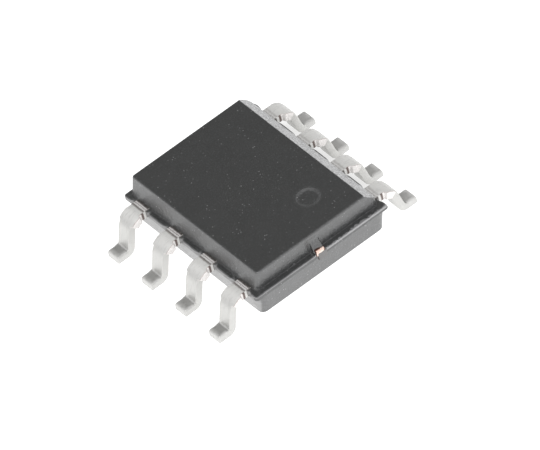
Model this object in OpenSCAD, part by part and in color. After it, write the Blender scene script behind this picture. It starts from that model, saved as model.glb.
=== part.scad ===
// Eight-lead small-outline chip package, in millimetres.
// Origin: centre of the footprint on the board plane, Z up, lead rows along Y.
// Leads 1 to 4 run down the -X row from the dimple corner, 5 to 8 up the +X row.

/* [Moulded body] */
// Body length along the lead rows, at the parting band
body_l = 5; // [4.8:0.01:5.1]
// Body width between the lead rows, at the parting band
body_w = 4; // [3.85:0.01:4.05]
// Gap between the board and the underside of the body
standoff = 0.22; // [0.1:0.01:0.25]
// Height of the lower moulded half, below the parting band
lower_h = 0.66; // [0.62:0.01:0.75]
// Height of the upright parting band
band_h = 0.12; // [0.1:0.01:0.16]
// Height of the upper moulded half, above the ledge
upper_h = 0.5; // [0.48:0.01:0.7]
// Width of the ledge in front of the leads
ledge_side = 0.15; // [0.12:0.005:0.2]
// Width of the ledge at the two ends
ledge_end = 0.12; // [0.1:0.005:0.16]
// Shift of the upper half along the lead rows, as the two mould halves meet
mould_shift = 0.05; // [0:0.01:0.06]
// Draft of the upper walls, degrees
upper_draft = 5; // [5:0.5:9]
// Draft of the lower walls, degrees
lower_draft = 12; // [8:0.5:13]
// Small step in from the band to the lower walls
band_step = 0.015; // [0.01:0.005:0.03]
// Edge break round the top face
top_edge = 0.03; // [0.02:0.005:0.04]
// Edge break round the bottom face
bottom_edge = 0.06; // [0.04:0.01:0.08]
// Upright corner radius of the lower half
lower_corner_r = 0.3; // [0.22:0.01:0.3]
// Upright corner radius of the band
band_corner_r = 0.07; // [0.04:0.01:0.1]
// Upright corner radius of the upper half
upper_corner_r = 0.13; // [0.12:0.01:0.2]
// Width of the bevel along the first lead row, seen from above
bevel_w = 0.27; // [0.2:0.01:0.32]
// Depth of the same bevel, down from the top face
bevel_h = 0.24; // [0.2:0.01:0.3]
// Diameter of the dimple that marks lead 1, at the top face
dimple_d = 0.74; // [0.5:0.01:0.8]
// Depth of the dimple
dimple_h = 0.06; // [0.03:0.005:0.08]
// Dimple centre to the end of the body
dimple_end = 1.19; // [1:0.01:1.3]
// Dimple centre to the first-row side of the body
dimple_side = 1.35; // [1.2:0.01:1.4]

/* [Leads] */
// Lead pitch along each row
pitch = 1.27; // [1.25:0.01:1.29]
// Span over the toes of the two rows
lead_span = 6.0; // [5.9:0.01:6.2]
// Lead frame thickness
lead_t = 0.2; // [0.17:0.01:0.23]
// Lead width from the dam bar to the toe
lead_w = 0.41; // [0.33:0.01:0.46]
// Lead width where it leaves the body
root_w = 0.47; // [0.42:0.01:0.52]
// Width over the trimmed dam bar stubs
stub_w = 0.6; // [0.54:0.01:0.66]
// Rise of the lead frame above the ledge
lead_proud = 0.01; // [0.005:0.005:0.02]
// Level run between the band and the first bend
lead_reach = 0.05; // [0.04:0.01:0.1]
// Inside radius of both bends
bend_r = 0.15; // [0.12:0.01:0.18]
// Lean of the drop away from upright, degrees
lead_lean = 8; // [4:0.5:12]
// Angle into the first bend where the stubs begin
stub_from = 14; // [8:1:30]
// Length of the stubs down the drop, past the first bend
stub_drop = 0.1; // [0.05:0.01:0.14]

/* [Lead fingers] */
// Finger tip to the centre line of the package
tip_x = 1.28; // [1.26:0.01:1.34]
// Length of the bond pad on each finger
finger_pad_l = 0.34; // [0.28:0.01:0.36]
// Width of the bond pad on each finger
finger_pad_w = 0.68; // [0.56:0.01:0.76]
// Reach of the corner arms past the tips, towards the centre line
arm_l = 0.56; // [0.4:0.01:0.6]
// Width of the corner arms
arm_w = 0.3; // [0.24:0.01:0.32]

/* [Die pad] */
// Die pad width
pad_w = 2.26; // [2:0.01:2.3]
// Die pad length
pad_l = 3.06; // [2.7:0.01:3.1]
// Depth the die pad is set down below the lead frame
downset = 0.15; // [0.1:0.01:0.2]
// Width of the tie bars
tie_w = 0.25; // [0.2:0.01:0.3]
// Tie bar stub left outside the band by the trim
tie_stub = 0.012; // [0.005:0.001:0.02]

/* [Die] */
// Die width
die_w = 1.34; // [1.2:0.01:1.5]
// Die length
die_l = 1.72; // [1.6:0.01:1.9]
// Die thickness
die_t = 0.25; // [0.2:0.01:0.28]
// Thickness of the die attach
attach_t = 0.025; // [0.015:0.005:0.04]
// Margin of die attach squeezed out round the die
attach_margin = 0.05; // [0.02:0.01:0.1]

/* [Bond wires] */
// Wire diameter
wire_d = 0.025; // [0.02:0.001:0.033]
// Ball diameter
ball_d = 0.07; // [0.06:0.005:0.08]
// Loop height above the die
loop_h = 0.19; // [0.16:0.01:0.21]
// Die bond centre to the edge of the die
bond_inset = 0.09; // [0.07:0.01:0.12]

/* [Hidden] */
$fn = 64;
over = 0.5; // cutter overrun past the faces it opens

// levels
band_z = standoff + lower_h;
ledge_z = band_z + band_h;
top_z = ledge_z + upper_h;
frame_z = ledge_z + lead_proud - lead_t;
frame_top = frame_z + lead_t;
pad_z = frame_z - downset;
attach_z = pad_z + lead_t;
die_z = attach_z + attach_t;
die_top = die_z + die_t;

// body
upper_in = upper_h * tan(upper_draft);
lower_in = lower_h * tan(lower_draft);
upper_w = body_w - 2 * ledge_side;
upper_l = body_l - 2 * ledge_end;
lower_w = body_w - 2 * band_step;
lower_l = body_l - 2 * band_step;

// lead: mid-thickness radius, turn of each bend, and where the bends start and centre
path_r = bend_r + lead_t / 2;
turn = 90 - lead_lean;
bend_x = body_w / 2 + lead_reach;
bend_run = path_r * sin(turn);
bend_fall = path_r * (1 - cos(turn));
drop_h = frame_z - 2 * bend_fall;
heel_x = bend_x + 2 * bend_run + drop_h / tan(turn);
bend_c = [bend_x, frame_z + lead_t / 2 - path_r];
heel_c = [heel_x, path_r + lead_t / 2];
root_x = tip_x + finger_pad_l / 2;
row_y = 1.5 * pitch;

// bond wires: die bond and finger bond of the middle and of the corner leads
mid_bond = [[die_w / 2 - bond_inset, 0.18 * die_l], [tip_x + 0.14, pitch / 2]];
corner_bond = [[0.3 * die_w, die_l / 2 - bond_inset], [tip_x - arm_l + 0.12, row_y + 0.02]];

// Half of a moulded body, standing on its parting face: drafted walls, coned upright
// corners and broken far edges
module mould_half(w, l, h, inset, corner_r, edge) {
    rotate([90, 0, 0]) linear_extrude(l - 2 * corner_r, center = true)
        draft_profile(w, h, inset, edge);
    rotate([90, 0, 90]) linear_extrude(w - 2 * corner_r, center = true)
        draft_profile(l, h, inset, edge);
    for (x = [-1, 1], y = [-1, 1])
        translate([x * (w / 2 - corner_r), y * (l / 2 - corner_r), 0]) rotate_extrude()
            polygon(concat([[0, 0]], draft_side(corner_r, h, inset, edge), [[0, h]]));
}

// Side of that half, from its parting face to its far face, for a half width of w
function draft_side(w, h, inset, edge) =
    [[w, 0], [w - inset * (1 - edge / h), h - edge], [w - inset - edge, h]];

module draft_profile(w, h, inset, edge) {
    side = draft_side(w / 2, h, inset, edge);
    polygon(concat(side, [for (i = [2:-1:0]) [-side[i][0], side[i][1]]]));
}

module lower_half() {
    translate([0, 0, band_z]) mirror([0, 0, 1])
        mould_half(lower_w, lower_l, lower_h, lower_in, lower_corner_r, bottom_edge);
}

module band() {
    translate([0, 0, band_z]) linear_extrude(band_h) {
        square([body_w - 2 * band_corner_r, body_l], center = true);
        square([body_w, body_l - 2 * band_corner_r], center = true);
        for (x = [-1, 1], y = [-1, 1])
            translate([x * (body_w / 2 - band_corner_r), y * (body_l / 2 - band_corner_r)])
                circle(band_corner_r);
    }
}

module upper_half() {
    translate([0, -mould_shift, ledge_z]) difference() {
        mould_half(upper_w, upper_l, upper_h, upper_in, upper_corner_r, top_edge);
        rotate([90, 0, 0]) linear_extrude(body_l, center = true) bevel_profile();
    }
}

// Wedge above the bevel, carried on past the wall at the same slope
module bevel_profile() {
    x0 = upper_in + bevel_w - upper_w / 2;
    k = 1.5;
    polygon([[x0, upper_h], [x0 - k * bevel_w, upper_h - k * bevel_h],
             [x0 - k * bevel_w, upper_h + over], [x0, upper_h + over]]);
}

module dimple() {
    translate([dimple_side - body_w / 2, body_l / 2 - dimple_end, top_z - dimple_h])
        cylinder(h = 2 * dimple_h, r1 = dimple_d / 2 - 1.5 * dimple_h, r2 = dimple_d / 2 + 1.5 * dimple_h);
}

module body() {
    color([0.16, 0.16, 0.17]) difference() {
        union() {
            lower_half();
            band();
            upper_half();
        }
        dimple();
        for (n = [1:8]) {
            lead(n);
            bond_wire(n);
        }
        die_pad();
        die_attach();
        die();
    }
}

// Unit vector at an angle
function dir(a) = [cos(a), sin(a)];

// Lead seen along its row: straight runs as one polygon, bends rounded outside and in
module lead_profile() {
    outer = path_r + lead_t / 2;
    difference() {
        union() {
            polygon([[root_x, frame_top], [bend_x, frame_top], bend_c + outer * dir(90 - turn),
                     heel_c + bend_r * dir(270 - turn), [heel_x, lead_t], [lead_span / 2, lead_t],
                     [lead_span / 2, 0], [heel_x, 0], heel_c + outer * dir(270 - turn),
                     bend_c + bend_r * dir(90 - turn), [bend_x, frame_z], [root_x, frame_z]]);
            translate(bend_c) sector(outer, 90 - turn, 90);
            translate(heel_c) sector(outer, 270 - turn, 270);
        }
        translate(bend_c) circle(bend_r);
        translate(heel_c) circle(bend_r);
    }
}

module sector(r, from, to) {
    intersection() {
        circle(r);
        polygon([[0, 0], 2 * r * dir(from), 2 * r * dir((from + to) / 2), 2 * r * dir(to)]);
    }
}

// Windows on the profile: up to the stubs, and the stubs themselves
module root_window() {
    polygon([[root_x - over, bend_c[1]], bend_c, bend_c + dir(90 - stub_from),
             [root_x - over, frame_top + over]]);
}

module stub_window() {
    foot = bend_c + stub_drop * dir(-turn);
    polygon([bend_c, bend_c + dir(90 - stub_from), bend_c + dir(45), foot + dir(90 - turn), foot]);
}

module strip(w) {
    rotate([90, 0, 0]) linear_extrude(w, center = true) children();
}

// Bond pad of a finger; a corner finger also reaches round the end of the die pad
module finger(corner) {
    translate([tip_x, -finger_pad_w / 2]) square([finger_pad_l, finger_pad_w]);
    if (corner) translate([tip_x - arm_l, 0]) square([arm_l, arm_w]);
}

// One lead of the +X row, moved and turned into its place by number
module lead(n) {
    row = n > 4 ? 1 : -1;
    k = n > 4 ? n - 5 : 4 - n;
    y = (k - 1.5) * pitch;
    corner = k == 0 || k == 3;
    color([0.83, 0.83, 0.81])
    mirror([row < 0 ? 1 : 0, 0, 0]) translate([0, y, 0]) {
        strip(lead_w) lead_profile();
        strip(root_w) intersection() {
            lead_profile();
            root_window();
        }
        strip(stub_w) intersection() {
            lead_profile();
            stub_window();
        }
        translate([0, 0, frame_z]) linear_extrude(lead_t)
            mirror([0, y < 0 ? 1 : 0]) finger(corner);
    }
}

module die_pad() {
    end_y = body_l / 2 + tie_stub;
    step_y = pad_l / 2 + 0.08;
    color([0.78, 0.5, 0.34]) {
        translate([-pad_w / 2, -pad_l / 2, pad_z]) cube([pad_w, pad_l, lead_t]);
        for (s = [0, 1]) mirror([0, s, 0]) rotate([90, 0, 90]) linear_extrude(tie_w, center = true)
            polygon([[pad_l / 2 - 0.1, pad_z], [step_y, pad_z], [step_y + downset, frame_z],
                     [end_y, frame_z], [end_y, frame_top], [step_y + downset - 0.08, frame_top],
                     [step_y - 0.08, attach_z], [pad_l / 2 - 0.1, attach_z]]);
    }
}

module die_attach() {
    w = die_w + 2 * attach_margin;
    l = die_l + 2 * attach_margin;
    color([0.7, 0.7, 0.66]) translate([-w / 2, -l / 2, attach_z]) cube([w, l, attach_t]);
}

module die() {
    color([0.35, 0.37, 0.42]) translate([-die_w / 2, -die_l / 2, die_z]) cube([die_w, die_l, die_t]);
}

// Rings of a bond wire as [distance along it, height, radius, turn from upright],
// from the ball on the die over the loop to the stitch on the finger
function wire_rings(l) = [
    [0, die_top, ball_d / 2, 0],
    [0, die_top + 0.016, ball_d / 2, 0],
    [0, die_top + 0.028, wire_d / 2, 0],
    [0, die_top + loop_h - 0.07, wire_d / 2, 8],
    [0.012, die_top + loop_h - 0.03, wire_d / 2, 38],
    [0.05, die_top + loop_h - wire_d / 2, wire_d / 2, 74],
    [0.12, die_top + loop_h - wire_d / 2 - 0.004, wire_d / 2, 98],
    [0.62 * l, frame_top + 0.5 * (die_top + loop_h - frame_top), wire_d / 2, 118],
    [l - 0.06, frame_top + 0.034, wire_d / 2, 122],
    [l, frame_top, wire_d, 180]
];

// Closed tube of six flats through those rings, from a to b
module wire_tube(a, b) {
    l = norm(b - a);
    rings = wire_rings(l);
    last = len(rings) - 1;
    pts = [for (r = rings, k = [0:5])
        [r[0] + r[2] * sin(60 * k) * cos(r[3]), r[2] * cos(60 * k), r[1] - r[2] * sin(60 * k) * sin(r[3])]];
    faces = concat(
        [for (k = [1:4]) [0, k, k + 1]],
        [for (k = [1:4]) [6 * last, 6 * last + k + 1, 6 * last + k]],
        [for (i = [0:last - 1], k = [0:5]) [6 * i + k, 6 * i + 6 + k, 6 * i + (k + 1) % 6]],
        [for (i = [0:last - 1], k = [0:5]) [6 * i + (k + 1) % 6, 6 * i + 6 + k, 6 * i + 6 + (k + 1) % 6]]);
    translate([a[0], a[1], 0]) rotate(atan2(b[1] - a[1], b[0] - a[0])) polyhedron(pts, faces);
}

module bond_wire(n) {
    row = n > 4 ? 1 : -1;
    k = n > 4 ? n - 5 : 4 - n;
    bond = k == 0 || k == 3 ? corner_bond : mid_bond;
    flip = [row, k > 1 ? 1 : -1];
    color([0.9, 0.72, 0.35]) wire_tube([for (i = [0, 1]) flip[i] * bond[0][i]],
                                       [for (i = [0, 1]) flip[i] * bond[1][i]]);
}

body();
lead(1);  // lead_1
lead(2);  // lead_2
lead(3);  // lead_3
lead(4);  // lead_4
lead(5);  // lead_5
lead(6);  // lead_6
lead(7);  // lead_7
lead(8);  // lead_8
die_pad();
die_attach();
die();
bond_wire(1);  // bond_wire_1
bond_wire(2);  // bond_wire_2
bond_wire(3);  // bond_wire_3
bond_wire(4);  // bond_wire_4
bond_wire(5);  // bond_wire_5
bond_wire(6);  // bond_wire_6
bond_wire(7);  // bond_wire_7
bond_wire(8);  // bond_wire_8
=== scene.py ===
import math

import bmesh
import bpy
from mathutils import Matrix, Vector, noise


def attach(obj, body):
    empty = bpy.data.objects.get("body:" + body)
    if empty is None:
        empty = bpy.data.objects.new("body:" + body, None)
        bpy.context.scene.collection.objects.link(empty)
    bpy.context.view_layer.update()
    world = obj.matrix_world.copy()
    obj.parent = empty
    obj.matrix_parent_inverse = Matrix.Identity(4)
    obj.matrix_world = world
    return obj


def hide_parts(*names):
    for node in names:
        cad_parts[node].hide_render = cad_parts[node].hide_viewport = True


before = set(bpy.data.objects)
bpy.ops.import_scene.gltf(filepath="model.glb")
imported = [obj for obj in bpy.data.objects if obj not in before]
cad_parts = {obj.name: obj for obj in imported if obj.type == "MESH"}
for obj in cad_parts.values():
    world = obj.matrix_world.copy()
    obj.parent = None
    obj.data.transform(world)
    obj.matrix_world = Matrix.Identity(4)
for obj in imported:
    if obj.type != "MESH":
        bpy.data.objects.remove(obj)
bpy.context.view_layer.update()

# ---------------------------------------------------------------------------
# Moulded body: one block of black epoxy compound, transfer moulded round the lead
# frame in a two-part tool, so the upper half is smaller and leaves a ledge at the
# parting band. The tool's spark-eroded skin gives it a fine grain.
# ---------------------------------------------------------------------------
MM = 0.001
HALF_X, HALF_Y = 2.0, 2.5
BOTTOM_Z, BAND_Z, LEDGE_Z, TOP_Z = 0.22, 0.88, 1.00, 1.50
BOTTOM_ROUND, LOWER_TAPER, LOWER_CORNER, BAND_STEP = 0.06, 0.14, 0.30, 0.015
LEDGE_SIDE, LEDGE_END, UPPER_CORNER, TOP_ROUND = 0.15, 0.12, 0.13, 0.06
SIDE_DRAFT, FIRST_SIDE_DRAFT, END_DRAFT, CORNER_DRAFT = 0.27, 0.085, 0.03, 0.1
MOULD_SHIFT = 0.05
BEVEL_X, BEVEL_SLOPE, BEVEL_BLEND = -1.533, 1.155, 0.03
DIMPLE_AT, DIMPLE_R, DIMPLE_WALL, DIMPLE_H = (-0.65, 1.31), 0.36, 0.17, 0.045
LEAD_PITCH = 1.27
LIP_Z, FLASH, DIMPLE_END_FLASH = 0.98, 0.008, 0.016
SEAL_Z, SEAL_OFF, SEAL_HALF, SEAL_DEEP, SEAL_DROP = 0.84, 0.30, 0.13, 0.05, 0.03
FIRST_SIDE_Z, FIRST_SIDE_IN = 0.93, 0.035
TIE_HALF_W, TIE_HALF_T, TIE_Z = 0.125, 0.10, 0.91
BURR_X, BURR_Z = 0.047, 1.035
BOSS_HALF, BOSS_FADE, BOSS_Z, BOSS_RISE, BOSS_Y = 0.165, 0.05, 1.12, 3.0, 2.41
BAND_CUT = 0.014
SIDE_STEPS, CORNER_STEPS, DIMPLE_STEPS = (120, 168), 8, 72
WELD, CREASE = 1e-5, 0.6


def smooth_max(a, b, k):
    """The larger of two numbers, blended over a distance of k where they cross."""
    h = max(k - abs(a - b), 0) / k
    return max(a, b) + h * h * k / 4


def ease(t):
    """0 below 0, 1 above 1, smooth between them."""
    t = min(max(t, 0), 1)
    return t * t * (3 - 2 * t)


def ragged(x, y, z, octaves=3, fineness=0.7, gap=2.2):
    """Uneven value about zero, the same at the same place each time."""
    return noise.fractal(Vector((x, y, z)), fineness, gap, octaves)


def mould_ring(half_x, half_y, corner, z, first_side=0.0):
    """Rounded rectangle at one height, anticlockwise, cut back by the first row's bevel."""
    points = []
    for quarter, (sx, sy) in enumerate([(1, 1), (-1, 1), (-1, -1), (1, -1)]):
        cx, cy = sx * (half_x - corner), sy * (half_y - corner)
        for i in range(CORNER_STEPS + 1):
            a = math.pi / 2 * (quarter + i / CORNER_STEPS)
            points.append((cx + corner * math.cos(a), cy + corner * math.sin(a)))
        (x0, y0), (x1, y1) = points[-1], [(-cx, sy * half_y), (sx * half_x, -cy)][quarter % 2]
        steps = SIDE_STEPS[quarter % 2]
        points += [(x0 + (x1 - x0) * i / steps, y0 + (y1 - y0) * i / steps) for i in range(1, steps)]
    if z <= LEDGE_Z:
        return [Vector((x, y, z)) for x, y in points]
    bevel = BEVEL_X - (TOP_Z - z) * BEVEL_SLOPE
    points = [(x - first_side * min(1, max(0, -x)), y - MOULD_SHIFT) for x, y in points]
    return [Vector((smooth_max(x, bevel, BEVEL_BLEND), y, z)) for x, y in points]


def lower_rows():
    """Rings of the lower half and the parting band, from the bottom face up: half width,
    half length, corner radius and height."""
    rows = [(0.23, 0.06, BOTTOM_Z)]
    for i in range(6):
        t = math.pi / 2 * i / 5
        out = 0.073 * math.sin(t)
        rows.append((0.215 - out, 0.09 + out, BOTTOM_Z + BOTTOM_ROUND * (1 - math.cos(t))))
    for z in (0.30, 0.44, 0.58, 0.72, 0.85, 0.868):
        inset = LOWER_TAPER * (BAND_Z - z) / (BAND_Z - BOTTOM_Z)
        rows.append((BAND_STEP + inset, LOWER_CORNER - inset, z))
    rows += [(BAND_STEP, 0.29, 0.876), (0.011, 0.24, BAND_Z), (0.006, 0.09, 0.882),
             (0.0015, 0.075, 0.886), (0.0, 0.07, 0.892), (0.0, 0.07, 0.94), (0.0, 0.07, 0.986),
             (0.0025, 0.07, 0.995), (0.009, 0.065, LEDGE_Z), (0.02, 0.06, LEDGE_Z)]
    return [(HALF_X - inset, HALF_Y - inset, corner, z) for inset, corner, z in rows]


def upper_rows():
    """Rings of the upper half, from the ledge up. Each also says how much further out the
    bevelled side stands."""
    side, end = HALF_X - LEDGE_SIDE, HALF_Y - LEDGE_END
    rows = [(side + w, end + w, UPPER_CORNER - 0.01 + w, LEDGE_Z + h, 0.0)
            for w, h in [(0.02, 0.0002), (0.006, 0.0005), (0.002, 0.003), (0.0, 0.010)]]
    foot, wall_h = 0.03, TOP_Z - TOP_ROUND - LEDGE_Z
    for i in range(15):
        h = foot + (wall_h - foot) * i / 14
        rows.append((side - h * SIDE_DRAFT, end - h * END_DRAFT, UPPER_CORNER - h * CORNER_DRAFT,
                     LEDGE_Z + h, h * (SIDE_DRAFT - FIRST_SIDE_DRAFT)))
    side, end, corner, _, first = rows[-1]
    for i in range(1, 9):
        t = math.pi / 2 * i / 8
        w = TOP_ROUND * (1 - math.cos(t))
        rows.append((side - w, end - w, corner - w, TOP_Z - TOP_ROUND * (1 - math.sin(t)), first))
    w = TOP_ROUND + 0.015
    rows.append((side - w, end - w, 0.01, TOP_Z, first))
    return rows


def parting_flash(p):
    """Ragged resin left along the parting band by the trim tool, mostly on the dimple's
    end. Beside each lead the band is drawn in, where the mould seals on the metal."""
    on_end, on_side = abs(p.y) > HALF_Y - 0.05, abs(p.x) > HALF_X - 0.07
    if on_end and abs(p.x) > 0.15 and BAND_Z + 0.005 < p.z < LEDGE_Z + 0.002:
        torn = ragged(p.x * 9, p.y * 2, p.z * 14, octaves=4)
        near_dimple = p.x < 0 and p.y > 0
        amount = DIMPLE_END_FLASH if near_dimple else FLASH
        p.y += math.copysign(max(min(torn * 0.6, 0.6), -1) * amount, p.y)
        if p.z > LIP_Z:
            p.z += (1.1 if near_dimple else 0.4) * max(torn, -0.1) * amount
    if on_side and abs(p.y) < HALF_Y - 0.1 and SEAL_Z < p.z < LEDGE_Z + 0.002:
        off = min(abs(p.y - (i - 1.5) * LEAD_PITCH) for i in range(4))
        drawn_in = max(0, 1 - abs(off - SEAL_OFF) / SEAL_HALF) ** 1.5 * ease((p.z - SEAL_Z) / 0.12)
        p.x -= math.copysign(SEAL_DEEP * drawn_in, p.x)
        p.z -= SEAL_DROP * drawn_in
        if p.z > LIP_Z:
            p.z += 0.006 * ragged(p.y * 9, p.x, 3.1)
    if p.x < 0.05 - HALF_X and FIRST_SIDE_Z < p.z < LEDGE_Z + 0.02:
        p.x += FIRST_SIDE_IN * ease((p.z - FIRST_SIDE_Z) / 0.06)
    return p


def tie_boss(p):
    """Small ramp of resin that covers each tie bar where it crosses the ledge."""
    over_bar = ease((BOSS_HALF - abs(p.x - BURR_X)) / BOSS_FADE)
    if LEDGE_Z - 0.015 < p.z < TOP_Z - 0.13 and abs(p.y) > HALF_Y - LEDGE_END - 0.09:
        slope = BOSS_Z + BOSS_RISE * max(0, BOSS_Y - abs(p.y))
        p.z += max(slope - p.z, 0) * over_bar
    if BAND_Z + 0.02 < p.z < LEDGE_Z + 0.20 and abs(p.y) > HALF_Y - 0.03:
        p.y -= math.copysign(BAND_CUT * over_bar, p.y)
    return p


def link_mesh(name, bm):
    """Turns a mesh drawn in millimetres into an object of the scene, in metres."""
    bmesh.ops.remove_doubles(bm, verts=bm.verts, dist=WELD)
    bmesh.ops.recalc_face_normals(bm, faces=bm.faces)
    bmesh.ops.scale(bm, vec=(MM, MM, MM), verts=bm.verts)
    for face in bm.faces:
        face.smooth = True
    for edge in bm.edges:
        edge.smooth = not edge.is_manifold or edge.calc_face_angle() < CREASE
    mesh = bpy.data.meshes.new(name)
    bm.to_mesh(mesh)
    bm.free()
    piece = bpy.data.objects.new(name, mesh)
    bpy.context.collection.objects.link(piece)
    return piece


def bridge(bm, rings):
    """Walls of quads from each closed ring of vertices to the next."""
    for low, high in zip(rings, rings[1:]):
        for a, b, c, d in zip(low, low[1:] + low[:1], high[1:] + high[:1], high):
            bm.faces.new((a, b, c, d))


def moulded_body():
    bm = bmesh.new()
    rings = [[bm.verts.new(tie_boss(parting_flash(p))) for p in mould_ring(*row)]
             for row in lower_rows() + upper_rows()]
    for vert in rings[-1]:
        vert.co.x = max(vert.co.x, BEVEL_X + 0.02)
    bridge(bm, rings)
    bm.faces.new(reversed(rings[0]))
    dish = []
    for share in [1.2, 1.12] + [1.06 - 0.5 * i / 14 for i in range(15)]:
        r = DIMPLE_R * share
        z = TOP_Z - DIMPLE_H * ease((DIMPLE_R - r) / DIMPLE_WALL)
        turns = [math.tau * j / DIMPLE_STEPS for j in range(DIMPLE_STEPS)]
        dish.append([bm.verts.new((DIMPLE_AT[0] + r * math.cos(a), DIMPLE_AT[1] + r * math.sin(a), z))
                     for a in turns])
    bridge(bm, dish)
    bm.faces.new(dish[-1])
    bmesh.ops.remove_doubles(bm, verts=bm.verts, dist=WELD)
    rims = [e for e in bm.edges if e.is_boundary]
    bmesh.ops.triangle_fill(bm, use_beauty=True, use_dissolve=False, edges=rims)
    return link_mesh("moulded_body", bm)


class Value:
    """A node's output socket. Arithmetic on it adds Math nodes."""

    def __init__(self, finish, socket):
        self.finish, self.socket = finish, socket

    def math(self, operation, *others):
        return self.finish.node("Math", {"operation": operation}, dict(enumerate((self, *others))))

    def __add__(self, other): return self.math("ADD", other)
    def __sub__(self, other): return self.math("SUBTRACT", other)
    def __mul__(self, other): return self.math("MULTIPLY", other)
    def __gt__(self, other): return self.math("GREATER_THAN", other)
    def __lt__(self, other): return self.math("LESS_THAN", other)
    def __abs__(self): return self.math("ABSOLUTE")
    def __rsub__(self, other): return self.math("MULTIPLY_ADD", -1.0, other)
    __radd__, __rmul__ = __add__, __mul__

    def larger(self, other): return self.math("MAXIMUM", other)


class Finish:
    """The node tree of a material or a world, with the shader that closes it."""

    def __init__(self, owner, shader="Principled BSDF", **fixed):
        self.owner = owner
        owner.use_nodes = True
        self.tree = owner.node_tree
        self.shader = self.tree.nodes[shader]
        self.surface(**fixed)

    def wire(self, node, sockets):
        for key, value in sockets.items():
            socket = node.inputs[key.replace("_", " ") if isinstance(key, str) else key]
            if isinstance(value, Value):
                self.tree.links.new(value.socket, socket)
            else:
                socket.default_value = value

    def surface(self, **sockets):
        self.wire(self.shader, sockets)

    def node(self, kind, settings=None, sockets=None, out=0):
        made = self.tree.nodes.new("ShaderNode" + kind)
        for key, value in (settings or {}).items():
            if key == "stops":
                ramp = made.color_ramp.elements
                while len(ramp) < len(value):
                    ramp.new(0.5)
                for stop, (place, colour) in zip(ramp, value):
                    stop.position, stop.color = place, colour
            else:
                setattr(made, key, value)
        self.wire(made, sockets or {})
        return Value(self, made.outputs[out])

    def where(self):
        """The piece's own coordinates: a vector in metres, then x, y and z in millimetres."""
        place = self.node("TexCoord", out=3)
        return place, *(self.node("SeparateXYZ", {}, {0: place}, out=i) * (1 / MM) for i in range(3))

    def mix(self, factor, a, b):
        return self.node("Mix", {"data_type": "RGBA"}, {0: factor, 6: a, 7: b}, out=2)

    def step(self, value, low, high):
        """0 below low, 1 above high, smooth between them."""
        return self.node("MapRange", {"interpolation_type": "SMOOTHSTEP"},
                         {"Value": value, "From Min": low, "From Max": high})

    def span(self, value, rise, top, fall, end):
        """1 from top to fall, fading to 0 at rise below it and at end above it."""
        return self.step(value, rise, top) * (1 - self.step(value, fall, end))

    def noise(self, place, size, detail=2.0, rough=0.5, stretch=(1, 1, 1)):
        """Cloudy pattern with blotches of about this size in millimetres."""
        scaled = self.node("VectorMath", {"operation": "MULTIPLY"},
                           {0: place, 1: [s / (size * MM) for s in stretch]})
        return self.node("TexNoise", {}, {"Vector": scaled, "Scale": 1.0,
                                          "Detail": detail, "Roughness": rough})

    def cells(self, place, size, metric="EUCLIDEAN"):
        """Distance to the middle of the nearest of some scattered cells of this size."""
        scaled = self.node("VectorMath", {"operation": "SCALE"}, {0: place, "Scale": 1 / (size * MM)})
        return self.node("TexVoronoi", {"distance": metric}, {"Vector": scaled, "Scale": 1.0})

    def relief(self, height, depth):
        """Bump of a 0-to-1 height, for a depth in millimetres."""
        return self.node("Bump", {}, {"Height": height, "Distance": depth * MM, "Strength": 1.0})


def rgba(r, g, b):
    return (r, g, b, 1.0)


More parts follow.
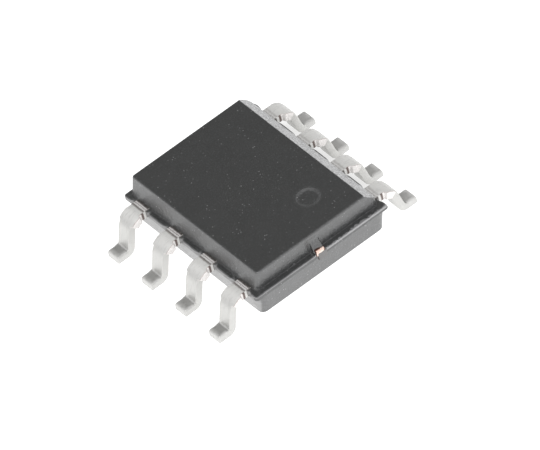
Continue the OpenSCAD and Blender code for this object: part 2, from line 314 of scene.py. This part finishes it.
def epoxy_finish():
    f = Finish(bpy.data.materials.new("epoxy_compound"), IOR=2.2)
    place, x, y, z = f.where()
    grain = f.noise(place, 0.05, 3.0, 0.6)
    mottle = f.noise(place, 0.6, 3.0, 0.6)
    cloud = f.noise(place, 0.16, 2.0, 0.5)
    scuff = f.noise(place, 0.07, 2.0, 0.6, stretch=(1, 1, 0.25))
    rough = f.noise(place, 0.09, 3.0, 0.7)
    filler = (1 - f.step(f.cells(place, 0.09), 0.10, 0.20)) * f.step(f.noise(place, 0.25, 1.0), 0.50, 0.64)
    wall = 1 - f.step(z, TOP_Z - 0.012, TOP_Z - 0.004)

    base = f.mix(mottle, rgba(0.010, 0.011, 0.011), rgba(0.024, 0.025, 0.025))
    base = f.mix(f.step(grain, 0.50, 0.75) * (0.25 + 0.35 * wall), base, rgba(0.10, 0.105, 0.11))
    base = f.mix(filler * (0.45 + 0.4 * wall), base, rgba(0.34, 0.34, 0.34))

    # The bevel's face is painted paler, speckled by the grain: a painted highlight for the light its slope
    # catches.
    slant = TOP_Z * BEVEL_SLOPE - BEVEL_X
    bevel = f.step(z * BEVEL_SLOPE - x, slant - 0.03, slant - 0.005) * wall * f.step(z, 1.02, 1.06)
    base = f.mix(bevel * f.step(grain, 0.25, 0.75), base, rgba(0.52, 0.525, 0.53))

    # Painted shadow: a dark reddish line on the resin round the end of each tie bar, for the gap there.
    gap = (abs(x) - TIE_HALF_W).larger(abs(z - TIE_Z) - TIE_HALF_T)
    tie_gap_shade = (1 - f.step(gap, 0.0, 0.03)) * (abs(y) > 2.3)
    base = f.mix(tie_gap_shade * 0.85, base, rgba(0.035, 0.012, 0.008))

    # Paler, freshly broken resin along the flash line. Along the band's top edge the paler paint is partly
    # broken flash and partly a painted highlight; on the lower sides between the leads it is a painted
    # reflection of the bright floor.
    crept = f.step(y + f.noise(place, 0.12, 3.0, 0.75) * 0.30, 2.600, 2.622)
    crept = crept * (x < -0.10) * (z > 0.95) * (z < 1.03)
    base = f.mix(crept * (0.3 + rough * 0.7), base, rgba(0.34, 0.34, 0.345))
    # Painted highlight along the band's top edge, mixed with paler broken flash.
    edge = f.step(z + rough * 0.02, 0.972, 0.990) * (1 - f.step(z, 1.004, 1.012))
    outer = f.step(abs(x), 1.955, 1.975).larger(f.step(abs(y), 2.455, 2.475))
    patchy = f.step(f.noise(place, 0.5, 2.0, 0.6), 0.35, 0.65)
    base = f.mix(edge * outer * (0.1 + rough * 0.5 + patchy * 0.3), base, rgba(0.24, 0.24, 0.245))
    # Painted reflection: the lower sides between the leads painted paler, for the bright floor they
    # mirror.
    painted_floor_reflection = f.step(abs(x), 1.80, 1.86) * (1 - f.step(abs(y), 2.36, 2.44))
    painted_floor_reflection = painted_floor_reflection * (1 - f.step(z + rough * 0.03, 0.985, 1.005))
    base = f.mix(painted_floor_reflection * (0.35 + rough * 0.9), base, rgba(0.24, 0.24, 0.24))

    band = f.span(z, 0.884, 0.892, 0.955, 0.975)
    f.surface(
        Base_Color=base,
        Roughness=0.20 + cloud * 0.12 + grain * 0.12 + band * 0.2,
        Normal=f.relief(grain * 0.7 + mottle * 0.6 + filler * 0.5 + scuff * wall * 0.8, 0.010),
    )
    return f.owner


body_piece = moulded_body()
body_piece.data.materials.append(epoxy_finish())
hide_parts("body")
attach(body_piece, "root")

# ---------------------------------------------------------------------------
# Leads: eight strips stamped from the copper frame, plated with matt tin and bent
# into gull wings after moulding. The dam bars between them are sheared off, which
# leaves uneven stubs of pale cut metal at the shoulders.
# ---------------------------------------------------------------------------
THICK = 0.2
FINGER_X, FINGER_L, FINGER_HALF, FINGER_ROUND = 1.28, 0.34, 0.34, 0.012
ROOT_HALF, STRIP_HALF, STUB_LOW, STUB_HIGH = 0.235, 0.205, 0.015, 0.065
BEND_X, FRAME_MID, FOOT_MID = 2.114, 0.91, 0.1
BEND_R, HEEL_R, TURN = 0.35, 0.15, math.radians(75)
TOE_X, TOE_ROUND = 3.0, 0.05
FADE, EDGE_ROLL, FOOT_ROLL, TORN = 0.02, 0.03, 0.025, 0.014
CLAMP_AT, CLAMP_H, CLAMP_W = (0.642, 0.690), 0.007, 0.014
END_ARM, END_ARM_X = Vector((0.60, 0.30, 0.198)), 1.02

# Lengths along the centre line, from the finger's tip to the toe.
LEVEL = BEND_X - FINGER_X
ARC, HEEL_ARC = BEND_R * TURN, HEEL_R * TURN
DROP = (FRAME_MID - FOOT_MID - (BEND_R + HEEL_R) * (1 - math.cos(TURN))) / math.sin(TURN)
HEEL_X = BEND_X + (BEND_R + HEEL_R) * math.sin(TURN) + DROP * math.cos(TURN)
FOOT = TOE_X - HEEL_X
WHOLE = LEVEL + ARC + DROP + HEEL_ARC + FOOT
STUB_START = LEVEL + BEND_R * math.radians(10)
STUB_END = LEVEL + BEND_R * math.radians(50)


def lead_place(s):
    """Centre line at a distance along it from the finger tip: x, z and turn from level."""
    if s <= LEVEL:
        return FINGER_X + s, FRAME_MID, 0.0
    s -= LEVEL
    if s <= ARC:
        a = s / BEND_R
        return BEND_X + BEND_R * math.sin(a), FRAME_MID - BEND_R * (1 - math.cos(a)), a
    s -= ARC
    if s <= DROP:
        x, z = BEND_X + BEND_R * math.sin(TURN), FRAME_MID - BEND_R * (1 - math.cos(TURN))
        return x + s * math.cos(TURN), z - s * math.sin(TURN), TURN
    s -= DROP
    if s <= HEEL_ARC:
        a = TURN - s / HEEL_R
        return HEEL_X - HEEL_R * math.sin(a), FOOT_MID + HEEL_R * (1 - math.cos(a)), a
    return HEEL_X + s - HEEL_ARC, FOOT_MID, 0.0


def lead_half_widths(s):
    """Reach from the centre line to the low-y and the high-y side. The dam bar's stubs
    stand out unevenly, because its punch runs a little to one side."""
    past_stub = ease((s - STUB_END + FADE) / (2 * FADE))
    w = FINGER_HALF - (FINGER_HALF - ROOT_HALF) * ease((s - FINGER_L) / FADE)
    w -= (ROOT_HALF - STRIP_HALF) * past_stub
    stub = ease((s - STUB_START + FADE) / (2 * FADE)) * (1 - past_stub)
    return w + STUB_LOW * stub, w + STUB_HIGH * stub


def lead_stations():
    """Distances along the lead that get a ring, closer where its shape changes."""
    def spread(start, end, steps):
        return {start + (end - start) * i / steps for i in range(steps + 1)}

    marks = {0.0, 0.004, 0.012, 0.2, 0.33} | {WHOLE - TOE_ROUND * (i / 6) ** 2 for i in range(7)}
    marks |= spread(FINGER_L, FINGER_L + FADE, 4) | spread(FINGER_L + FADE, LEVEL, 60)
    marks |= spread(STUB_START - FADE, STUB_START + FADE, 5)
    marks |= spread(STUB_END - FADE, STUB_END + FADE, 5)
    marks |= spread(LEVEL, LEVEL + ARC, 30) | spread(LEVEL + ARC, LEVEL + ARC + DROP, 12)
    marks |= spread(LEVEL + ARC + DROP, LEVEL + ARC + DROP + HEEL_ARC, 14)
    return sorted(marks | spread(WHOLE - FOOT, WHOLE - TOE_ROUND, 8))


def lead_section(low, high, top, over):
    """Stamped cross-section: edges rolled over by the radius over on top, crisp below."""
    under, bottom = 0.02, THICK / 2
    points = []
    for quarter, (reach, level, r) in enumerate([(high, top, over), (-low, top, over),
                                                 (-low, -bottom, under), (high, -bottom, under)]):
        across, up = (1 if reach > 0 else -1), (1 if level > 0 else -1)
        for i in range(5):
            a = math.pi / 2 * (quarter + i / 4)
            points.append((reach - across * r + r * math.cos(a), level - up * r + r * math.sin(a)))
        run = [(-(high + low - 2 * over), 0), (0, -(top + bottom - over - under)),
               (high + low - 2 * under, 0), (0, top + bottom - over - under)][quarter]
        last = points[-1]
        points += [(last[0] + run[0] * i / 5, last[1] + run[1] * i / 5) for i in range(1, 5)]
    return points


def clamp_mark(s):
    """Height of the two low ridges that the mould's edge leaves across a lead."""
    return CLAMP_H * sum(math.exp(-((s - at) / CLAMP_W) ** 2) for at in CLAMP_AT)


def lead_piece(n):
    """One lead. Each vertex keeps its distance along the lead and in from the edge, which
    the tin's finish follows."""
    row = 1 if n > 4 else -1
    k = n - 5 if n > 4 else 4 - n
    y0 = (k - 1.5) * LEAD_PITCH
    bm = bmesh.new()
    along = bm.verts.layers.float.new("along")
    inside = bm.verts.layers.float.new("inside")
    rings = []
    for s in lead_stations():
        x, z, turn = lead_place(s)
        low, high = lead_half_widths(s)
        sheared = ease((s - LEVEL) / 0.04) * (1 - ease((s - STUB_END) / 0.03))
        end, r = (s, FINGER_ROUND) if s < 1 else (WHOLE - s, TOE_ROUND)
        inset = r * (1 - math.sqrt(max(0.0, 1 - (1 - min(end, r) / r) ** 2)))
        over = EDGE_ROLL + FOOT_ROLL * ease((s - WHOLE + FOOT) / 0.1)
        ring = []
        for u, v in lead_section(low - 0.2 * inset, high - 0.2 * inset, THICK / 2 - inset, over):
            torn = ragged(s * 22, u * 3 + n * 7, v * 22, fineness=0.8, gap=2.0) * sheared
            u += TORN * max(min(torn, 0.6), -1) * ease((u - high + 0.05) / 0.05)
            v += clamp_mark(s) if v > THICK / 4 else 0
            vert = bm.verts.new((row * (x + v * math.sin(turn)), y0 + u, z + v * math.cos(turn)))
            vert[along], vert[inside] = s, min(high - u, u + low + 0.02)
            ring.append(vert)
        rings.append(ring)
    bridge(bm, rings)
    bm.faces.new(rings[0])
    bm.faces.new(rings[-1])
    if k in (0, 3):
        middle = (row * END_ARM_X, y0 + math.copysign(END_ARM.y / 2, y0), FRAME_MID)
        arm = bmesh.ops.create_cube(bm, size=1.0)["verts"]
        bmesh.ops.scale(bm, vec=END_ARM, verts=arm)
        bmesh.ops.translate(bm, vec=middle, verts=arm)
        edges = list({e for v in arm for e in v.link_edges})
        bmesh.ops.bevel(bm, geom=edges, offset=0.02, segments=2, affect="EDGES", profile=0.5)
    return link_mesh(f"gull_wing_lead_{n}", bm)


def tin_finish():
    f = Finish(bpy.data.materials.new("matt_tin_on_copper"), IOR=1.5)
    place, x, _, _ = f.where()
    along = f.node("Attribute", {"attribute_name": "along"}, out=2)
    inside = f.node("Attribute", {"attribute_name": "inside"}, out=2)
    second_row = f.step(x, 0, 1)
    grain = f.noise(place, 0.03, 2.0, 0.5)
    cloud = f.noise(place, 0.16, 3.0, 0.6)
    drawn = f.noise(place, 0.05, 2.0, 0.6, stretch=(0.25, 1, 0.25))
    rough = f.noise(place, 0.05, 3.0, 0.7)

    # Tin: brighter and less metallic where it lies level, streaked by the bending tool.
    bent = f.step(along, LEVEL + 0.2 * ARC, LEVEL + 0.8 * ARC)
    bright = f.mix(cloud, rgba(0.70, 0.695, 0.675), rgba(0.80, 0.795, 0.77))
    tin = f.mix(cloud, rgba(0.52, 0.518, 0.502), rgba(0.62, 0.617, 0.60))
    tin = f.mix(bent, bright, tin)
    tin = f.mix(f.step(drawn, 0.5, 0.75) * 0.4, tin, rgba(0.44, 0.438, 0.42))

    # Root: bands of resin stain and wiped metal where the mould clamped the lead. The thin dark band at
    # the body's edge is partly resin and partly a painted shadow line.
    root = f.node("ValToRGB", {"stops": [
        (0.00, rgba(0.04, 0.035, 0.03)), (0.12, rgba(0.05, 0.045, 0.04)),
        (0.22, rgba(0.64, 0.61, 0.60)), (0.36, rgba(0.70, 0.675, 0.665)),
        (0.41, rgba(0.22, 0.19, 0.18)), (0.47, rgba(0.68, 0.665, 0.655)),
        (0.64, rgba(0.66, 0.65, 0.64)), (0.72, rgba(0.17, 0.15, 0.14)),
        (0.84, rgba(0.26, 0.24, 0.23)), (1.00, rgba(0.66, 0.655, 0.635)),
    ]}, {"Fac": (along + rough * 0.05 - 0.615) * 5})
    stain = f.step(f.noise(place, 0.06, 3.0, 0.7), 0.5, 0.7)
    root = f.mix(stain * 0.6, root, rgba(0.20, 0.175, 0.16))
    marked = (1 - f.step(along + rough * 0.03, 0.79, 0.82)) * f.step(inside + rough * 0.02, 0.02, 0.05)
    tin = f.mix(marked * (0.3 + 0.65 * second_row), tin, root)
    # Painted shade: the lead's edges darkened where they go into the body.
    root_edge_shade = (1 - f.step(inside + rough * 0.02, 0.02, 0.045)) * (1 - f.step(along, 0.70, 0.73))
    tin = f.mix(root_edge_shade * 0.9, tin, rgba(0.06, 0.05, 0.045))

    # Sheared stub: pale cut metal and a thin line of copper beside it, with painted shade at the stub's
    # inner corner by the body.
    rim = inside + rough * 0.05 - 0.025
    zone = f.step(along + rough * 0.06, LEVEL, LEVEL + 0.03)
    zone = zone * (1 - f.step(along - rough * 0.05, STUB_END - 0.04, STUB_END))
    cut = (1 - f.step(rim, 0.012, 0.024)) * zone
    line = (1 - f.step(rim, 0.024, 0.040)) * zone - cut
    # Painted shade in the corner between the stub and the body.
    stub_corner_shade = (1 - f.step(abs(along - LEVEL + 0.025), 0.018, 0.042)) * (1 - f.step(inside, 0.02, 0.04))
    tin = f.mix(cut * 0.85, tin, rgba(0.89, 0.86, 0.84))
    tin = f.mix(line * 0.5, tin, rgba(0.46, 0.33, 0.29))
    tin = f.mix(stub_corner_shade * 0.9, tin, rgba(0.09, 0.05, 0.04))

    # Foot: less metallic than the drop, least of all at its edges and toe.
    foot = f.step(along, WHOLE - FOOT - 0.02, WHOLE - FOOT + 0.02)
    worn = (1 - f.step(inside, 0.03, 0.11)).larger(f.step(along, WHOLE - 0.16, WHOLE - 0.04))
    dull = foot * (0.06 + 0.33 * (1 - second_row) + worn * 0.55) * f.step(cloud, 0.1, 0.5)
    f.surface(
        Base_Color=tin,
        Metallic=(0.15 + 0.75 * bent - dull) * (1 - cut * 0.8),
        Roughness=0.34 + cloud * 0.14 + grain * 0.08 + cut * 0.2,
        Normal=f.relief(grain * 0.4 + drawn * 0.4 + cut * rough * 1.5, 0.005),
    )
    return f.owner


tin = tin_finish()
for n in range(1, 9):
    lead = lead_piece(n)
    lead.data.materials.append(tin)
    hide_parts(f"lead_{n}")
    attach(lead, "root")

# ---------------------------------------------------------------------------
# Die pad: the middle of the same copper frame, set down below the leads and held in
# the moulding by two tie bars. Each bar's end is skinned with resin, under a bright
# smear of sheared copper.
# ---------------------------------------------------------------------------
BURR_WIDE, BURR_DEEP, BURR_TALL, BURR_Y, BURR_TILT = 0.130, 0.037, 0.106, 2.4725, 0.02
BURR_CUTS, CORNER_FAR, CORNER_PULL = 9, 0.732, 0.12
BAR_END_Y = 2.4


def dress(node, material):
    """Gives a CAD piece that keeps its own shape its finish."""
    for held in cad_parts[node].material_slots:
        held.material = material


def sheared_burr(n, side):
    """Copper smeared up over the ledge where the press sheared a tie bar: a cube with its
    corners pulled in and its faces torn."""
    bm = bmesh.new()
    bmesh.ops.create_cube(bm, size=2.0)
    bmesh.ops.subdivide_edges(bm, edges=bm.edges, cuts=BURR_CUTS, use_grid_fill=True)
    for vert in bm.verts:
        u, v, w = vert.co
        blunt = 1 - CORNER_PULL * ((math.sqrt(u * u + v * v + w * w) - 1) / CORNER_FAR) ** 2
        torn = ragged(u * 1.6 + n * 3, v, w * 1.6, fineness=0.8, gap=2.1)
        vert.co = (BURR_X + BURR_WIDE * u * blunt + 0.012 * torn,
                   side * (BURR_Y + BURR_DEEP * v * blunt + 0.005 * max(-1, min(torn, 0.3))),
                   BURR_Z + BURR_TILT * u + BURR_TALL * w * blunt + 0.010 * torn)
    return link_mesh(f"tie_bar_burr_{n}", bm)


def copper_finish(name, skinned):
    """Copper with a torn, oxidised rim at the burr. Skinned over, its end shows resin."""
    f = Finish(bpy.data.materials.new(name), IOR=2.2)
    place, x, y, z = f.where()
    rolled = f.noise(place, 0.04, 2.0, 0.6, stretch=(1, 0.1, 1))
    torn = f.noise(place, 0.035, 3.0, 0.7, stretch=(1, 1, 0.5))
    end = abs(y) > BAR_END_Y
    rim = (abs(x - BURR_X) - 0.105).larger(abs(z - BURR_Z) - 0.100)
    base = f.mix(rolled, rgba(0.62, 0.44, 0.36), rgba(0.84, 0.70, 0.63))
    wiped = (1 - f.step(z + torn * 0.08, 1.04, 1.12)) * f.step(z, 0.9, 0.94) * end
    base = f.mix(wiped * 0.8, base, rgba(0.93, 0.84, 0.77))
    base = f.mix(f.step(torn, 0.52, 0.62) * 0.45 * end, base, rgba(0.50, 0.27, 0.19))
    dark = f.step(rim + torn * 0.03, 0.008, 0.028) * end
    base = f.mix(dark * 0.9, base, rgba(0.13, 0.04, 0.025))
    if skinned:
        base = f.mix(end, base, f.mix(torn, rgba(0.02, 0.02, 0.02), rgba(0.10, 0.09, 0.085)))
    f.surface(
        Base_Color=base,
        Metallic=1 - end if skinned else 1.0,
        Roughness=0.28 + torn * 0.25,
        Normal=f.relief(torn, 0.010),
    )
    return f.owner


dress("die_pad", copper_finish("rolled_copper", skinned=True))
burr_copper = copper_finish("sheared_copper", skinned=False)
for n, side in ((1, 1), (2, -1)):
    burr = sheared_burr(n, side)
    burr.data.materials.append(burr_copper)
    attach(burr, "root")


# ---------------------------------------------------------------------------
# Die and its attach: a small block of polished silicon, bedded on the pad in
# silver-filled glue that reaches a little past its edge. The moulding hides both.
# ---------------------------------------------------------------------------
def glue_finish():
    f = Finish(bpy.data.materials.new("silver_glue"))
    place = f.where()[0]
    flakes = f.noise(place, 0.012, 3.0, 0.7)
    f.surface(
        Base_Color=f.mix(flakes, rgba(0.42, 0.42, 0.40), rgba(0.74, 0.73, 0.70)),
        Metallic=f.step(flakes, 0.35, 0.65) * 0.8,
        Roughness=0.45 + flakes * 0.25,
        Normal=f.relief(flakes, 0.003),
    )
    return f.owner


def silicon_finish():
    f = Finish(bpy.data.materials.new("polished_silicon"), Metallic=0.6)
    place = f.where()[0]
    blocks = f.cells(place, 0.22, "CHEBYCHEV")
    haze = f.noise(place, 0.2, 2.0, 0.5)
    f.surface(
        Base_Color=f.mix(f.step(blocks, 0.1, 0.5), rgba(0.16, 0.19, 0.27), rgba(0.30, 0.27, 0.36)),
        Roughness=0.12 + haze * 0.12,
        Normal=f.relief(blocks, 0.001),
    )
    return f.owner


dress("die_attach", glue_finish())
dress("die", silicon_finish())


# ---------------------------------------------------------------------------
# Bond wires: eight fine gold wires, balled on to the die and stitched to the lead
# fingers, hidden in the moulding with the die.
# ---------------------------------------------------------------------------
def gold_finish():
    f = Finish(bpy.data.materials.new("drawn_gold"), Metallic=1.0)
    place = f.where()[0]
    drawn = f.noise(place, 0.01, 2.0, 0.5)
    f.surface(
        Base_Color=f.mix(drawn, rgba(0.92, 0.66, 0.25), rgba(1.0, 0.79, 0.38)),
        Roughness=0.16 + drawn * 0.12,
        Normal=f.relief(drawn, 0.001),
    )
    return f.owner


gold = gold_finish()
for n in range(1, 9):
    dress(f"bond_wire_{n}", gold)

# ---------------------------------------------------------------------------
# Table and light: a white paper sweep under a soft tent of light, brighter round the
# sides than overhead, with one large soft lamp.
# ---------------------------------------------------------------------------
TABLE_HALF, TABLE_GAP = 3.0, 0.00002
OVERHEAD = (-0.338, -0.621, 0.707)
LAMP_AT, LAMP_SIDE, LAMP_POWER = Vector((0.28, 0.50, 0.60)), 0.5, 2.0

bm = bmesh.new()
bmesh.ops.create_grid(bm, x_segments=2, y_segments=2, size=TABLE_HALF)
bmesh.ops.translate(bm, vec=(0, 0, -TABLE_GAP), verts=bm.verts)
mesh = bpy.data.meshes.new("table")
bm.to_mesh(mesh)
bm.free()
table = bpy.data.objects.new("table", mesh)
bpy.context.collection.objects.link(table)


def paper_finish():
    """White paper that glows like a lit sweep, dimmer under the chip and its first row: a painted shadow.
    """
    f = Finish(bpy.data.materials.new("white_paper"), Roughness=1.0, Emission_Strength=1.1)
    place, x, y, _ = f.where()
    shade = f.span(x, -2.85, -2.50, 0.9, 1.7) * f.span(y, -3.0, -2.2, 0.9, 1.9)
    fibre = f.noise(place, 0.2, 2.0, 0.5)
    f.surface(
        Base_Color=f.mix(fibre, rgba(0.39, 0.39, 0.39), rgba(0.41, 0.41, 0.41)),
        Emission_Color=f.mix(shade, rgba(1, 1, 1), rgba(0.57, 0.57, 0.565)),
    )
    return f.owner


table.data.materials.append(paper_finish())

bpy.context.scene.world = bpy.data.worlds.new("tent")
tent = Finish(bpy.context.scene.world, "Background", Strength=1.0)
toward = tent.node("VectorMath", {"operation": "DOT_PRODUCT"},
                   {0: tent.node("TexCoord"), 1: OVERHEAD}, out=1)
tent.surface(Color=tent.mix(tent.step(toward, 0.62, 0.95),
                            rgba(0.92, 0.92, 0.93), rgba(0.25, 0.25, 0.245)))

softbox = bpy.data.lights.new("front_box", "AREA")
softbox.shape, softbox.size, softbox.energy = "SQUARE", LAMP_SIDE, LAMP_POWER
lamp = bpy.data.objects.new("front_box", softbox)
lamp.location = LAMP_AT
lamp.rotation_mode = "QUATERNION"
lamp.rotation_quaternion = (-LAMP_AT).to_track_quat("-Z", "Y")
bpy.context.collection.objects.link(lamp)

# ---------------------------------------------------------------------------
# Camera: a very long lens, almost without perspective, that looks down on the corner
# between the second row and the dimple's end.
# ---------------------------------------------------------------------------
CAMERA_AT = Vector((141.507, 260.477, 296.257)) * MM
RIGHT, UP = Vector((-0.76521, 0.61870, -0.17794)), Vector((-0.54787, -0.48070, 0.68466))
BACK = Vector((0.33807, 0.62140, 0.70681))

lens = bpy.data.cameras.new("camera")
lens.sensor_width, lens.lens = 36.0, 1200.0
lens.clip_start, lens.clip_end = 0.01, 20.0
camera = bpy.data.objects.new("camera", lens)
bpy.context.collection.objects.link(camera)
camera.matrix_world = Matrix.Translation(CAMERA_AT) @ Matrix((RIGHT, UP, BACK)).transposed().to_4x4()
scene = bpy.context.scene
scene.camera = camera
scene.view_settings.view_transform = "Standard"
scene.view_settings.look = "None"
